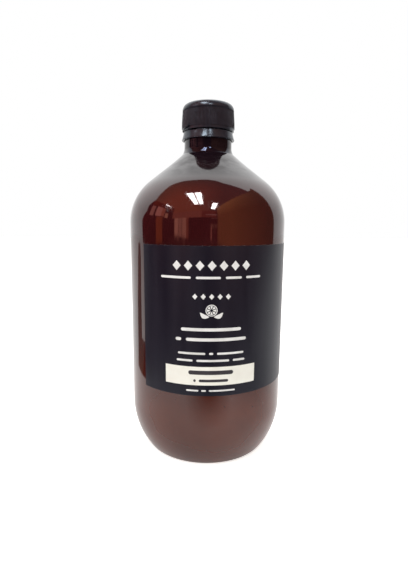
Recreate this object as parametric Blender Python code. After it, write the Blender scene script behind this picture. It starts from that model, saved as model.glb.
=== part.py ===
# A one litre hand soap refill bottle: a blown amber PET bottle with a ribbed screw cap.
# Lengths are metres, angles are degrees. The bottle stands on Z = 0 and its label faces -Y.
# An azimuth is counted from -Y, the middle of the label's front, towards +X.

import math

import bmesh
import bpy
from mathutils import Matrix, Vector

# Clearances
SEAT_GAP = 0.0003
LABEL_GAP = 0.0002
THREAD_GAP = 0.0003

# Body of the bottle, outside
BODY_RADIUS = 0.046
HEEL_RADIUS = 0.0459
HEEL_ANGLE = 35.8
FOOT_FILLET = 0.0038
FOOT_WIDTH = 0.0036
PUSH_UP_HEIGHT = 0.0065
STRAIGHT_HEIGHT = 0.1085
SHOULDER_RADIUS = 0.0302
SHOULDER_SLOPE = 37.6
NECK_FILLET = 0.0041

# Walls of the bottle
BODY_WALL = 0.0006
BASE_WALL = 0.0016
NECK_WALL = 0.00145

# Neck finish: the radius at the thread's root, the other steps as added to it, and the heights
NECK_RADIUS = 0.0123
GROOVE_STEP = 0.0008
COLLAR_STEP = 0.0015
BEAD_STEP = 0.0018
COLLAR_HEIGHT = 0.0059
CATCH_HEIGHT = 0.0011
CATCH_PLAY = 0.0009
BEAD_FLAT = 0.00055
BEAD_RAMP = 0.0011
THREADED_HEIGHT = 0.01275
RIM_ROUND = 0.0004

# Thread that joins neck and cap
THREAD_PITCH = 0.00423
THREAD_DEPTH = 0.0012
THREAD_CREST = 0.0011
THREAD_FLANK = 26.6
THREAD_TURNS = 1.5
THREAD_DROP = 0.0018
CAP_THREAD_TURNS = 1.25
RUN_OUT = 30.0

# Headspace over the liquid soap, and the soft liner disc in the cap
HEADSPACE = 0.0332
LINER_THICKNESS = 0.001

# Screw cap: its walls are measured from its inside
CAP_PLATE = 0.0015
CAP_LIP_WALL = 0.00125
CAP_LIP_HEIGHT = 0.0015
RIB_TOP_WALL = 0.00112
RIB_BOTTOM_WALL = 0.00172
RIB_DEPTH = 0.00035
RIB_COUNT = 120
CROWN_LEDGE = 0.00006
CROWN_HEIGHT = 0.0039
CROWN_ROUND = 0.0036
LINER_BEAD = 0.0004
LINER_BEAD_DROP = 0.0006

# Slanting slit in the lip of the cap
SLIT_START = -73.0
SLIT_END = -49.0
SLIT_WIDTH = 0.0005

# Tamper evident band: its walls are measured from its inside
BAND_GAP = 0.0005
BAND_DROP = 0.0007
BAND_RISE = 0.00015
BAND_WALL = 0.00055
BAND_FOOT_WALL = 0.001
BRIDGE_COUNT = 8
BRIDGE_WIDTH = 0.0007
BRIDGE_HEIGHT = 0.0002

# Wrap label, which leaves a bare strip of the bottle, and the pale panel in the middle of its front
LABEL_LEFT = -51.3
BARE_ANGLE = 49.6
LABEL_LIFT = 0.0173
LABEL_HEIGHT = 0.0802
LABEL_THICKNESS = 0.0002
PANEL_WIDTH = 0.0506
PANEL_HEIGHT = 0.0103
PANEL_LIFT = 0.006
PANEL_THICKNESS = 0.0002

# Fineness of the turned forms
SEGMENTS = 48
FOOT_STEPS = 3
HEEL_STEPS = 6
SHOULDER_STEPS = 7
FILLET_STEPS = 3
HALF_TURN = 180.0
FULL_TURN = 360.0
SEGMENT_ANGLE = FULL_TURN / SEGMENTS

# Heights and radii of the neck that follow from the sizes above
heel_rise = (HEEL_RADIUS - FOOT_FILLET) * math.sin(math.radians(HEEL_ANGLE)) + FOOT_FILLET
body_top = heel_rise + STRAIGHT_HEIGHT
groove_radius = NECK_RADIUS + GROOVE_STEP
collar_radius = NECK_RADIUS + COLLAR_STEP
bead_radius = NECK_RADIUS + BEAD_STEP
bore_radius = NECK_RADIUS - NECK_WALL


def arc(centre, radius, start, end, steps):
    # Points (r, z) on a circle in the section plane; 0 degrees points away from the axis, 90 up
    points = []
    for step in range(steps + 1):
        angle = math.radians(start + (end - start) * step / steps)
        points.append((centre[0] + radius * math.cos(angle), centre[1] + radius * math.sin(angle)))
    return points


def body_side(inset):
    # The body from its foot up to the foot of the neck, moved inwards by inset
    slope = math.radians(SHOULDER_SLOPE)
    reach = HEEL_RADIUS - FOOT_FILLET
    heel_centre = (BODY_RADIUS - HEEL_RADIUS, heel_rise)
    foot_centre = (heel_centre[0] + reach * math.cos(math.radians(HEEL_ANGLE)), FOOT_FILLET)
    shoulder_centre = (BODY_RADIUS - SHOULDER_RADIUS, body_top)
    cone_start = (
        shoulder_centre[0] + SHOULDER_RADIUS * math.sin(slope),
        shoulder_centre[1] + SHOULDER_RADIUS * math.cos(slope),
    )
    fillet_radius = collar_radius + NECK_FILLET
    cone_run = cone_start[0] - (fillet_radius - NECK_FILLET * math.sin(slope))
    cone_end = cone_start[1] + cone_run * math.tan(slope)
    fillet_centre = (fillet_radius, cone_end + NECK_FILLET * math.cos(slope))
    side = arc(foot_centre, FOOT_FILLET - inset, -90, -HEEL_ANGLE, FOOT_STEPS)
    side += arc(heel_centre, HEEL_RADIUS - inset, -HEEL_ANGLE, 0, HEEL_STEPS)[1:]
    side += arc(shoulder_centre, SHOULDER_RADIUS - inset, 0, 90 - SHOULDER_SLOPE, SHOULDER_STEPS)
    side += arc(fillet_centre, NECK_FILLET + inset, 270 - SHOULDER_SLOPE, HALF_TURN, FILLET_STEPS)
    return side


neck_foot = body_side(0)[-1][1]
collar_top = neck_foot + COLLAR_HEIGHT
catch_bottom = collar_top + SEAT_GAP
catch_top = catch_bottom + CATCH_HEIGHT
bead_bottom = catch_top + CATCH_PLAY
bead_top = bead_bottom + BEAD_FLAT + BEAD_RAMP
neck_top = bead_top + THREADED_HEIGHT
neck_thread_low = neck_top - THREAD_DROP - THREAD_PITCH * THREAD_TURNS
fill_level = neck_top - HEADSPACE

# Heights and radii of the closure
band_radius = bead_radius + SEAT_GAP
band_bottom = catch_bottom - BAND_DROP
band_top = bead_top + BAND_RISE
skirt_bottom = band_top + BAND_GAP
liner_bottom = neck_top + SEAT_GAP
liner_top = liner_bottom + LINER_THICKNESS
plate_bottom = liner_top + SEAT_GAP
cap_top = plate_bottom + CAP_PLATE
cap_radius = NECK_RADIUS + THREAD_DEPTH + THREAD_GAP
rib_bottom = skirt_bottom + CAP_LIP_HEIGHT
rib_top = cap_top - CROWN_HEIGHT
rib_wall = cap_radius + (RIB_TOP_WALL - RIB_DEPTH) / 2 - RIB_DEPTH / 2

# Places of the label and its panel
label_radius = BODY_RADIUS + LABEL_GAP
label_bottom = heel_rise + LABEL_LIFT
panel_radius = label_radius + LABEL_THICKNESS + LABEL_GAP


def point_at(azimuth, radius, height):
    angle = math.radians(azimuth)
    return Vector((radius * math.sin(angle), -radius * math.cos(angle), height))


def spread(start, end, largest_step):
    steps = max(1, math.ceil(abs(end - start) / largest_step))
    return [start + (end - start) * step / steps for step in range(steps + 1)]


def add_object(name, bm, material=None):
    bmesh.ops.recalc_face_normals(bm, faces=bm.faces)
    mesh = bpy.data.meshes.new(name)
    bm.to_mesh(mesh)
    bm.free()
    mesh.shade_smooth()
    mesh.set_sharp_from_angle(angle=math.radians(35))
    if material is not None:
        mesh.materials.append(material)
    obj = bpy.data.objects.new(name, mesh)
    bpy.context.scene.collection.objects.link(obj)
    return obj


def turned(name, section, material, closed=False):
    # Spins a section (r, z) round the Z axis; an open section starts and ends on the axis
    bm = bmesh.new()
    verts = [bm.verts.new((r, 0, z)) for r, z in section]
    pairs = list(zip(verts, verts[1:]))
    if closed:
        pairs.append((verts[-1], verts[0]))
    edges = [bm.edges.new(pair) for pair in pairs]
    bmesh.ops.spin(
        bm, geom=verts + edges, cent=(0, 0, 0), axis=(0, 0, 1), angle=math.tau, steps=SEGMENTS, use_merge=True
    )
    bmesh.ops.remove_doubles(bm, verts=bm.verts, dist=1e-6)
    return add_object(name, bm, material)


def swept(name, rings, material=None, closed=False):
    # Joins rings of points, all of one size, into a bar with flat ends or into a closed loop
    bm = bmesh.new()
    rings = [[bm.verts.new(point) for point in ring] for ring in rings]
    pairs = list(zip(rings, rings[1:]))
    if closed:
        pairs.append((rings[-1], rings[0]))
    else:
        bm.faces.new(rings[0])
        bm.faces.new(rings[-1])
    for ring, following in pairs:
        for i in range(len(ring)):
            j = (i + 1) % len(ring)
            bm.faces.new((ring[i], ring[j], following[j], following[i]))
    return add_object(name, bm, material)


def curved_bar(name, azimuths, radii, heights, material=None):
    # A bar of rectangular section round the axis; heights gives (low, high) at each azimuth
    rings = []
    for azimuth, (low, high) in zip(azimuths, heights):
        corners = [(radii[0], low), (radii[1], low), (radii[1], high), (radii[0], high)]
        rings.append([point_at(azimuth, r, z) for r, z in corners])
    return swept(name, rings, material)


def boolean(target, tool, operation):
    modifier = target.modifiers.new(tool.name, "BOOLEAN")
    modifier.operation = operation
    modifier.solver = "EXACT"
    modifier.object = tool
    tool.hide_render = True
    tool.display_type = "WIRE"


def plastic(name, colour, roughness):
    material = bpy.data.materials.new(name)
    material.use_nodes = True
    shader = material.node_tree.nodes["Principled BSDF"]
    shader.inputs["Base Color"].default_value = (*colour, 1.0)
    shader.inputs["Roughness"].default_value = roughness
    shader.inputs["Metallic"].default_value = 0.0
    material.diffuse_color = (*colour, 1.0)
    return material


def push_up(foot_radius, lift, steps):
    # The hollow under the base, a shallow spherical dome from the axis out to the foot
    sphere = (foot_radius ** 2 + PUSH_UP_HEIGHT ** 2) / (2 * PUSH_UP_HEIGHT)
    half_angle = math.degrees(math.asin(foot_radius / sphere))
    return arc((0, PUSH_UP_HEIGHT - sphere + lift), sphere, 90, 90 - half_angle, steps)


def inner_side():
    # The inside of the bottle from the axis up to the foot of the neck, thicker at the base
    side = body_side(BODY_WALL)
    foot = [(r, z + BASE_WALL - BODY_WALL) for r, z in side[: FOOT_STEPS + 1]]
    return push_up(foot[0][0] - FOOT_WIDTH, BASE_WALL, 4) + foot + side[FOOT_STEPS + 1 :]


def bottle_section():
    # From the axis under the base, up the outside, over the rim and down the inside
    side = body_side(0)
    inside = inner_side()
    bore_foot = inside[-1][1] + inside[-1][0] - bore_radius
    section = push_up(side[0][0] - FOOT_WIDTH, 0, 4) + side
    section += [
        (collar_radius, collar_top),
        (groove_radius, collar_top),
        (groove_radius, bead_bottom),
        (bead_radius, bead_bottom),
        (bead_radius, bead_bottom + BEAD_FLAT),
        (NECK_RADIUS, bead_top),
        (NECK_RADIUS, neck_top - RIM_ROUND),
        (NECK_RADIUS - RIM_ROUND, neck_top),
        (bore_radius + RIM_ROUND, neck_top),
        (bore_radius, neck_top - RIM_ROUND),
        (bore_radius, bore_foot),
    ]
    return section + inside[::-1]


def thread(name, wall_radius, depth, sink, turns, low, skipped_turns=0.0):
    # A right hand ridge on a wall, sunk into it by sink; low is its middle where no turn is skipped.
    # Its rings lie halfway between the corners of the turned wall.
    half_crest = THREAD_CREST / 2
    half_root = half_crest + THREAD_DEPTH * math.tan(math.radians(THREAD_FLANK))
    first = round(skipped_turns * SEGMENTS)
    steps = round(turns * SEGMENTS)
    rings = []
    for step in range(steps + 1):
        from_end = min(step, steps - step) * SEGMENT_ANGLE
        crest = wall_radius + depth * min(1.0, 0.1 + 0.9 * from_end / RUN_OUT)
        middle = low + THREAD_PITCH * (first + step) / SEGMENTS
        azimuth = (first + step + 0.5) * SEGMENT_ANGLE
        corners = [
            (wall_radius - sink, middle - half_root),
            (wall_radius - sink, middle + half_root),
            (crest, middle + half_crest),
            (crest, middle - half_crest),
        ]
        rings.append([point_at(azimuth, r, z) for r, z in corners])
    return swept(name, rings)


def make_bottle(material):
    bottle = turned("bottle", bottle_section(), material)
    ridge = thread("neck_thread", NECK_RADIUS, THREAD_DEPTH, THREAD_GAP, THREAD_TURNS, neck_thread_low)
    boolean(bottle, ridge, "UNION")
    return bottle


def make_soap(material):
    # The soap fills the inside up to its level, with a seat gap to the wall
    inside = [(max(r - SEAT_GAP, 0.0), z + SEAT_GAP * (z < heel_rise)) for r, z in inner_side()]
    wet = [point for point in inside if point[1] < fill_level]
    below = wet[-1]
    above = inside[len(wet)]
    share = (fill_level - below[1]) / (above[1] - below[1])
    surface_radius = below[0] + (above[0] - below[0]) * share
    return turned("soap_fill", wet + [(surface_radius, fill_level), (0, fill_level)], material)


def cap_section():
    # From the axis under the plate, down the inside, round the lip and up over the crown
    crown_radius = cap_radius + RIB_TOP_WALL + CROWN_LEDGE
    bead_high = liner_bottom - SEAT_GAP
    section = [
        (0, plate_bottom),
        (cap_radius, plate_bottom),
        (cap_radius, bead_high),
        (cap_radius - LINER_BEAD, bead_high - LINER_BEAD_DROP / 2),
        (cap_radius, bead_high - LINER_BEAD_DROP),
        (cap_radius, skirt_bottom),
        (cap_radius + CAP_LIP_WALL, skirt_bottom),
        (cap_radius + CAP_LIP_WALL, rib_bottom + RIB_DEPTH),
        (rib_wall + RIB_DEPTH, rib_bottom + RIB_DEPTH),
        (rib_wall + RIB_DEPTH, rib_top - RIB_DEPTH / 2),
        (crown_radius, rib_top - RIB_DEPTH / 2),
    ]
    for angle in spread(0, 90, 18):
        turn = math.radians(angle)
        radius = crown_radius - CROWN_ROUND * (1 - math.cos(turn))
        section.append((radius, rib_top + CROWN_HEIGHT * math.sin(turn)))
    section.append((0, cap_top))
    return section


def make_ribs():
    # A ring of fine upright ribs, its smooth back sunk in the wall of the cap
    rings = []
    for i in range(2 * RIB_COUNT):
        azimuth = FULL_TURN / RIB_COUNT / 2 * (i + 0.5)
        groove = RIB_DEPTH * (i % 2)
        corners = [
            (rib_wall, rib_bottom),
            (cap_radius + RIB_BOTTOM_WALL - groove, rib_bottom),
            (cap_radius + RIB_TOP_WALL - groove, rib_top),
            (rib_wall, rib_top),
        ]
        rings.append([point_at(azimuth, r, z) for r, z in corners])
    return swept("cap_ribs", rings, closed=True)


def make_slit():
    # A slanting bar that cuts the lip of the cap from its lower edge up to the ribs
    azimuths = spread(SLIT_START, SLIT_END, SEGMENT_ANGLE)
    start = skirt_bottom - SLIT_WIDTH
    end = rib_bottom + SLIT_WIDTH
    heights = []
    for azimuth in azimuths:
        middle = start + (end - start) * (azimuth - SLIT_START) / (SLIT_END - SLIT_START)
        heights.append((middle - SLIT_WIDTH / 2, middle + SLIT_WIDTH / 2))
    radii = (cap_radius - THREAD_GAP, cap_radius + RIB_BOTTOM_WALL + RIB_DEPTH)
    return curved_bar("cap_slit", azimuths, radii, heights)


def make_cap(material):
    # The ridge inside the cap runs in the middle of the groove between the neck's ridges
    cap = turned("cap", cap_section(), material)
    low = neck_thread_low - THREAD_PITCH / 2
    skipped = THREAD_TURNS - CAP_THREAD_TURNS
    ridge = thread("cap_thread", cap_radius, -THREAD_DEPTH, -THREAD_GAP, CAP_THREAD_TURNS, low, skipped)
    boolean(cap, make_ribs(), "UNION")
    boolean(cap, ridge, "UNION")
    boolean(cap, make_slit(), "DIFFERENCE")
    return cap


def make_liner(material):
    radius = cap_radius - SEAT_GAP
    section = [(0, liner_bottom), (radius, liner_bottom), (radius, liner_top), (0, liner_top)]
    return turned("cap_liner", section, material)


def make_band(material):
    # A ring caught under the bead of the neck, with what is left of its bridges on top
    catch_radius = groove_radius + SEAT_GAP
    section = [
        (band_radius, band_bottom),
        (band_radius + BAND_FOOT_WALL, band_bottom),
        (band_radius + BAND_FOOT_WALL, band_bottom + BAND_GAP),
        (band_radius + BAND_WALL, (band_bottom + band_top) / 2),
        (band_radius + BAND_WALL, band_top),
        (band_radius, band_top),
        (band_radius, catch_top),
        (catch_radius, catch_top),
        (catch_radius, catch_bottom),
        (band_radius, catch_bottom),
    ]
    band = turned("tamper_band", section, material, closed=True)
    boolean(band, make_bridges(), "UNION")
    return band


def make_bridges():
    # Short stubs that the broken bridges leave on the inner half of the band's top edge
    middle_radius = band_radius + BAND_WALL / 2
    half_width = BRIDGE_WIDTH / 2
    bm = bmesh.new()
    for i in range(BRIDGE_COUNT):
        azimuth = SLIT_END + FULL_TURN / BRIDGE_COUNT * (i + 0.5)
        made = bmesh.ops.create_cube(bm, size=1.0)["verts"]
        size = Vector((half_width * 2, BAND_WALL / 2, BRIDGE_HEIGHT * 2))
        bmesh.ops.scale(bm, vec=size, verts=made)
        bmesh.ops.translate(bm, vec=(0, -middle_radius, band_top), verts=made)
        turn = Matrix.Rotation(math.radians(azimuth), 3, "Z")
        bmesh.ops.rotate(bm, cent=(0, 0, 0), matrix=turn, verts=made)
    return add_object("band_bridges", bm)


def wrapped_sheet(name, radius, thickness, left, right, bottom, height, material):
    # A thin sheet laid round the bottle from the azimuth left to the azimuth right
    azimuths = spread(left, right, SEGMENT_ANGLE)
    heights = [(bottom, bottom + height)] * len(azimuths)
    return curved_bar(name, azimuths, (radius, radius + thickness), heights, material)


def make_label(material):
    right = LABEL_LEFT + FULL_TURN - BARE_ANGLE
    return wrapped_sheet(
        "label", label_radius, LABEL_THICKNESS, LABEL_LEFT, right, label_bottom, LABEL_HEIGHT, material
    )


def make_panel(material):
    bottom = label_bottom + PANEL_LIFT
    side = math.degrees(PANEL_WIDTH / 2 / panel_radius)
    return wrapped_sheet(
        "refill_panel", panel_radius, PANEL_THICKNESS, -side, side, bottom, PANEL_HEIGHT, material
    )


for old in list(bpy.data.objects):
    bpy.data.objects.remove(old)

make_bottle(plastic("amber_pet", (0.07, 0.014, 0.006), 0.06))
make_soap(plastic("liquid_soap", (0.22, 0.07, 0.02), 0.1))
black = plastic("black_polypropylene", (0.022, 0.02, 0.024), 0.35)
make_cap(black)
make_band(black)
make_liner(plastic("white_foam", (0.85, 0.85, 0.83), 0.8))
make_label(plastic("black_film", (0.014, 0.015, 0.022), 0.4))
make_panel(plastic("cream_film", (0.85, 0.83, 0.76), 0.5))
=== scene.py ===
import math

import bpy
import numpy as np
from mathutils import Matrix, Vector


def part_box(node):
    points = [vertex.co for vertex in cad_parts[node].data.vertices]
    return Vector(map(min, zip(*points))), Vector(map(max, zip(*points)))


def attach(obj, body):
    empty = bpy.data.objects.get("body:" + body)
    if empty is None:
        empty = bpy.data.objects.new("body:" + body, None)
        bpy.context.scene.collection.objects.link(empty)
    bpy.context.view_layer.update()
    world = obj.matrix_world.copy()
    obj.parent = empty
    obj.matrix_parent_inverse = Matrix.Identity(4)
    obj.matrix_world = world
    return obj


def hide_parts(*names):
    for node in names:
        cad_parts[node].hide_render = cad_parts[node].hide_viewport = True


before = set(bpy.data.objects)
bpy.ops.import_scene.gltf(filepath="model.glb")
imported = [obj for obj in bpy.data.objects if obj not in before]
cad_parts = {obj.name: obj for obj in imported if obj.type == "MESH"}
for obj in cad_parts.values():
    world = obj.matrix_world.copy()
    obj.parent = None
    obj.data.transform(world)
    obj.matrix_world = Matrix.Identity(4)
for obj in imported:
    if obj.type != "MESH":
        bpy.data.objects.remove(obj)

# A one litre hand soap refill bottle in amber PET, with a ribbed screw cap and a dark wrap label.
# Lengths are in metres. The bottle stands on z = 0; the middle of its label faces -Y.
# An azimuth is counted in degrees from -Y towards +X.

mm = 0.001
fullTurn = 2 * math.pi
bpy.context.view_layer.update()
scene = bpy.context.scene


def arcPoints(centre, radius, start, end, count):
    # points of a circle in the section plane: r = cr + R cos t, z = cz + R sin t, t in degrees
    t = np.radians(np.linspace(start, end, count))
    return np.stack([centre[0] + radius * np.cos(t), centre[1] + radius * np.sin(t)], axis=1)


def evenly(a, b, count):
    # points on the straight line from a to b, both ends included
    return np.linspace(np.asarray(a, float), np.asarray(b, float), count)


def roundTurn(columns, extra=()):
    # azimuths of one full turn in radians: equal steps, with the extra ones sorted in between
    steps = np.linspace(0, fullTurn, columns, endpoint=False)
    return np.unique(np.concatenate([steps, np.mod(np.asarray(extra, float), fullTurn)]))


def aroundAxis(r, z, azimuths):
    # the surface (r sin a, -r cos a, z) for arrays r and z, rows along the profile, columns round
    r, z, a = np.broadcast_arrays(r, z, azimuths)
    return np.stack([r * np.sin(a), -r * np.cos(a), z], axis=-1)


def gridFaces(rows, columns, closeRows=False, closeColumns=False):
    # four-cornered faces between neighbouring rows and columns of a grid of points
    index = np.arange(rows * columns).reshape(rows, columns)
    if closeRows:
        index = np.concatenate([index, index[:1]], axis=0)
    if closeColumns:
        index = np.concatenate([index, index[:, :1]], axis=1)
    corners = [index[:-1, :-1], index[:-1, 1:], index[1:, 1:], index[1:, :-1]]
    return np.stack(corners, axis=-1).reshape(-1, 4)


def turnedForm(points):
    # a grid of rows round the axis made into faces; a row that lies on the axis becomes one point
    rows, columns = points.shape[:2]
    faces = gridFaces(rows, columns, closeColumns=True)
    index = np.arange(rows * columns).reshape(rows, columns)
    onAxis = np.hypot(points[:, 0, 0], points[:, 0, 1]) < 1e-7
    index[onAxis] = index[onAxis][:, :1]
    return points.reshape(-1, 3), index.reshape(-1)[faces]


def slabForm(front, back):
    # a thin closed sheet: two grids of points back to back, joined by a wall along their edges
    rows, columns = front.shape[:2]
    size = rows * columns
    face = gridFaces(rows, columns)
    index = np.arange(size).reshape(rows, columns)
    rim = np.concatenate([index[0, :-1], index[:-1, -1], index[-1, :0:-1], index[:0:-1, 0]])
    following = np.roll(rim, -1)
    wall = np.stack([rim, rim + size, following + size, following], axis=1)
    points = np.concatenate([front.reshape(-1, 3), back.reshape(-1, 3)])
    return points, np.concatenate([face, face[:, ::-1] + size, wall])


def joinForms(forms):
    # several (points, faces) as one: the faces of each are moved on by the points before it
    points, faces, before = [], [], 0
    for formPoints, formFaces in forms:
        points.append(formPoints)
        faces.append(formFaces + before)
        before += len(formPoints)
    return np.concatenate(points), np.concatenate(faces)


def addPiece(name, form, materials, body, replaces=(), sharpAngle=40, faceMaterial=None):
    # a mesh object from (points, faces); where a face names the same point twice in a row, one is kept
    points, faces = form
    used, renumbered = np.unique(faces, return_inverse=True)
    renumbered = renumbered.reshape(faces.shape)
    kept = renumbered != np.roll(renumbered, 1, axis=1)
    corners = np.split(renumbered[kept], np.cumsum(kept.sum(axis=1))[:-1])
    mesh = bpy.data.meshes.new(name)
    mesh.from_pydata(points[used], [], corners)
    mesh.validate()
    for material in materials:
        mesh.materials.append(material)
    if faceMaterial is not None:
        mesh.polygons.foreach_set("material_index", faceMaterial)
    mesh.shade_smooth()
    mesh.set_sharp_from_angle(angle=math.radians(sharpAngle))
    piece = bpy.data.objects.new(name, mesh)
    scene.collection.objects.link(piece)
    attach(piece, body)
    if replaces:
        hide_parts(*replaces)
    print("made", name, len(points), "points")
    return piece


def onBottle(across, up, radius):
    # lays flat label coordinates round the bottle: azimuth = across / R at the label's radius
    azimuth = np.asarray(across) / labelFilm["radius"]
    return aroundAxis(np.broadcast_to(radius, azimuth.shape), np.asarray(up), azimuth)


def printedForm(across, up, lift=None):
    # a printed shape, as a grid in label coordinates, raised from the label by the ink's thickness
    base = labelFilm["radius"] + labelFilm["thickness"] if lift is None else lift
    front = onBottle(across, up, base + inkFilm["thickness"])
    return slabForm(front, onBottle(across, up, base + inkFilm["clearance"]))


def newMaterial(name, colour, roughness, ior=1.5, specular=0.5):
    # a Principled material with its plain values on the shader; its tree and shader come with it
    material = bpy.data.materials.new(name)
    material.use_nodes = True
    shader = material.node_tree.nodes["Principled BSDF"]
    shader.inputs["Base Color"].default_value = (*colour, 1.0)
    shader.inputs["Roughness"].default_value = roughness
    shader.inputs["IOR"].default_value = ior
    shader.inputs["Specular IOR Level"].default_value = specular
    return material, material.node_tree, shader


def objectCoordinates(tree, scale=(1.0, 1.0, 1.0)):
    # the piece's own coordinates in metres, stretched by scale
    coordinates = tree.nodes.new("ShaderNodeTexCoord")
    mapping = tree.nodes.new("ShaderNodeMapping")
    mapping.inputs["Scale"].default_value = scale
    tree.links.new(coordinates.outputs["Object"], mapping.inputs["Vector"])
    return mapping.outputs["Vector"]


def noise(tree, vector, scale, detail=3.0, roughness=0.5):
    # fractal noise from 0 to 1, with about scale waves to the metre
    node = tree.nodes.new("ShaderNodeTexNoise")
    node.inputs["Scale"].default_value = scale
    node.inputs["Detail"].default_value = detail
    node.inputs["Roughness"].default_value = roughness
    tree.links.new(vector, node.inputs["Vector"])
    return node.outputs["Fac"]


def ramp(tree, value, stops):
    # a colour ramp through the stops (position, colour)
    node = tree.nodes.new("ShaderNodeValToRGB")
    elements = node.color_ramp.elements
    while len(elements) > 1:
        elements.remove(elements[-1])
    elements[0].position, elements[0].color = stops[0][0], (*stops[0][1], 1.0)
    for position, colour in stops[1:]:
        elements.new(position).color = (*colour, 1.0)
    tree.links.new(value, node.inputs["Fac"])
    return node.outputs["Color"]


def stretched(tree, value, low, high, newLow, newHigh):
    # low to high becomes newLow to newHigh in a straight line, held level beyond both ends
    node = tree.nodes.new("ShaderNodeMapRange")
    for name, number in zip(("From Min", "From Max", "To Min", "To Max"), (low, high, newLow, newHigh)):
        node.inputs[name].default_value = number
    tree.links.new(value, node.inputs["Value"])
    return node.outputs["Result"]


def mixed(tree, factor, first, second, blend="MIX"):
    # mixes two colours; factor and either colour may be a number, a colour or a socket
    node = tree.nodes.new("ShaderNodeMix")
    node.data_type = "RGBA"
    node.blend_type = blend
    sockets = (node.inputs["Factor"], node.inputs[6], node.inputs[7])
    for socket, value in zip(sockets, (factor, first, second)):
        if isinstance(value, bpy.types.NodeSocket):
            tree.links.new(value, socket)
        else:
            socket.default_value = value if isinstance(value, float) else (*value, 1.0)
    return node.outputs[2]


def multiplied(tree, first, second):
    # the product of two sockets
    node = tree.nodes.new("ShaderNodeMath")
    node.operation = "MULTIPLY"
    tree.links.new(first, node.inputs[0])
    tree.links.new(second, node.inputs[1])
    return node.outputs[0]


def bump(tree, shader, height, strength, distance):
    # tilts the shading by the slope of height, from 0 to 1, times distance, times strength
    node = tree.nodes.new("ShaderNodeBump")
    node.inputs["Strength"].default_value = strength
    node.inputs["Distance"].default_value = distance
    tree.links.new(height, node.inputs["Height"])
    tree.links.new(node.outputs["Normal"], shader.inputs["Normal"])


def amberPet():
    # deep amber plastic over dark liquid: painted light from below warms the foot, streaks of dust dull the
    # shoulder, painted shade dims the front of the neck's shine, and there are specks and fine scuffs all
    # over
    look = dict(
        roughness=0.045, scuffed=0.13, ior=1.57, shine=0.5,
        cloud=26.0, cloudShare=0.8, waveScale=55.0, waveDepth=0.02 * mm,
        speckScale=160.0, speckCore=0.045, speckEdge=0.07, speckShare=0.9, speckColour=(0.012, 0.005, 0.004),
        dustScale=85.0, dustFrom=160.0 * mm, dustFull=167.0 * mm, dustShine=0.24,
        neckFrom=175.6 * mm, neckFull=176.3 * mm, paintedNeckShadeTint=(0.20, 0.27, 0.44),
        frontFrom=-7.0 * mm, frontFull=-9.5 * mm,
        # the colour up the bottle: the lighter, warmer foot is painted light from below
        stops=[
            (0.00, (0.068, 0.012, 0.004)),
            (0.17, (0.070, 0.012, 0.004)),
            (0.26, (0.044, 0.007, 0.0035)),
            (0.34, (0.024, 0.0035, 0.0035)),
            (0.77, (0.022, 0.0030, 0.0035)),
            (0.81, (0.006, 0.0025, 0.0035)),
            (1.00, (0.004, 0.0025, 0.0045)),
        ],
    )
    material, tree, shader = newMaterial("amberPet", look["stops"][3][1], look["roughness"], look["ior"])
    place = objectCoordinates(tree)
    height = tree.nodes.new("ShaderNodeSeparateXYZ")
    tree.links.new(place, height.inputs[0])
    # colour by height: the lighter foot is painted light from below, and the colour darkens towards the neck
    share = stretched(tree, height.outputs["Z"], 0.0, bottleShape["top"], 0.0, 1.0)
    depth = ramp(tree, share, look["stops"])
    cloud = noise(tree, place, look["cloud"], 4.0)
    cloudColour = ramp(tree, cloud, [(0.35, (0.72, 0.66, 0.66)), (0.65, (1.25, 1.3, 1.3))])
    tinted = mixed(tree, look["cloudShare"], depth, mixed(tree, 1.0, depth, cloudColour, "MULTIPLY"))
    streaks = noise(tree, objectCoordinates(tree, (1.0, 1.0, 2.2)), look["dustScale"], 6.0, 0.62)
    high = stretched(tree, height.outputs["Z"], look["dustFrom"], look["dustFull"], 0.0, 1.0)
    dust = multiplied(tree, stretched(tree, streaks, 0.45, 0.60, 0.0, 1.0), high)
    shine = stretched(tree, dust, 0.0, 1.0, look["shine"], look["dustShine"])
    tree.links.new(shine, shader.inputs["Specular IOR Level"])
    specks = tree.nodes.new("ShaderNodeTexVoronoi")
    specks.inputs["Scale"].default_value = look["speckScale"]
    tree.links.new(place, specks.inputs["Vector"])
    away = specks.outputs["Distance"]
    speckMask = stretched(tree, away, look["speckCore"], look["speckEdge"], look["speckShare"], 0.0)
    tree.links.new(mixed(tree, speckMask, tinted, look["speckColour"]), shader.inputs["Base Color"])
    # painted shade: the specular tint dims and cools the reflections on the front of the neck only
    onNeck = stretched(tree, height.outputs["Z"], look["neckFrom"], look["neckFull"], 0.0, 1.0)
    inFront = stretched(tree, height.outputs["Y"], look["frontFrom"], look["frontFull"], 0.0, 1.0)
    paintedNeckShade = mixed(tree, multiplied(tree, onNeck, inFront), (1.0, 1.0, 1.0), look["paintedNeckShadeTint"])
    tree.links.new(paintedNeckShade, shader.inputs["Specular Tint"])
    scuffs = noise(tree, objectCoordinates(tree, (1.0, 1.0, 0.12)), 900.0, 2.0)
    rough = stretched(tree, scuffs, 0.45, 0.8, look["roughness"], look["scuffed"])
    tree.links.new(rough, shader.inputs["Roughness"])
    bump(tree, shader, noise(tree, place, look["waveScale"], 1.0), 0.25, look["waveDepth"])
    return material


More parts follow.
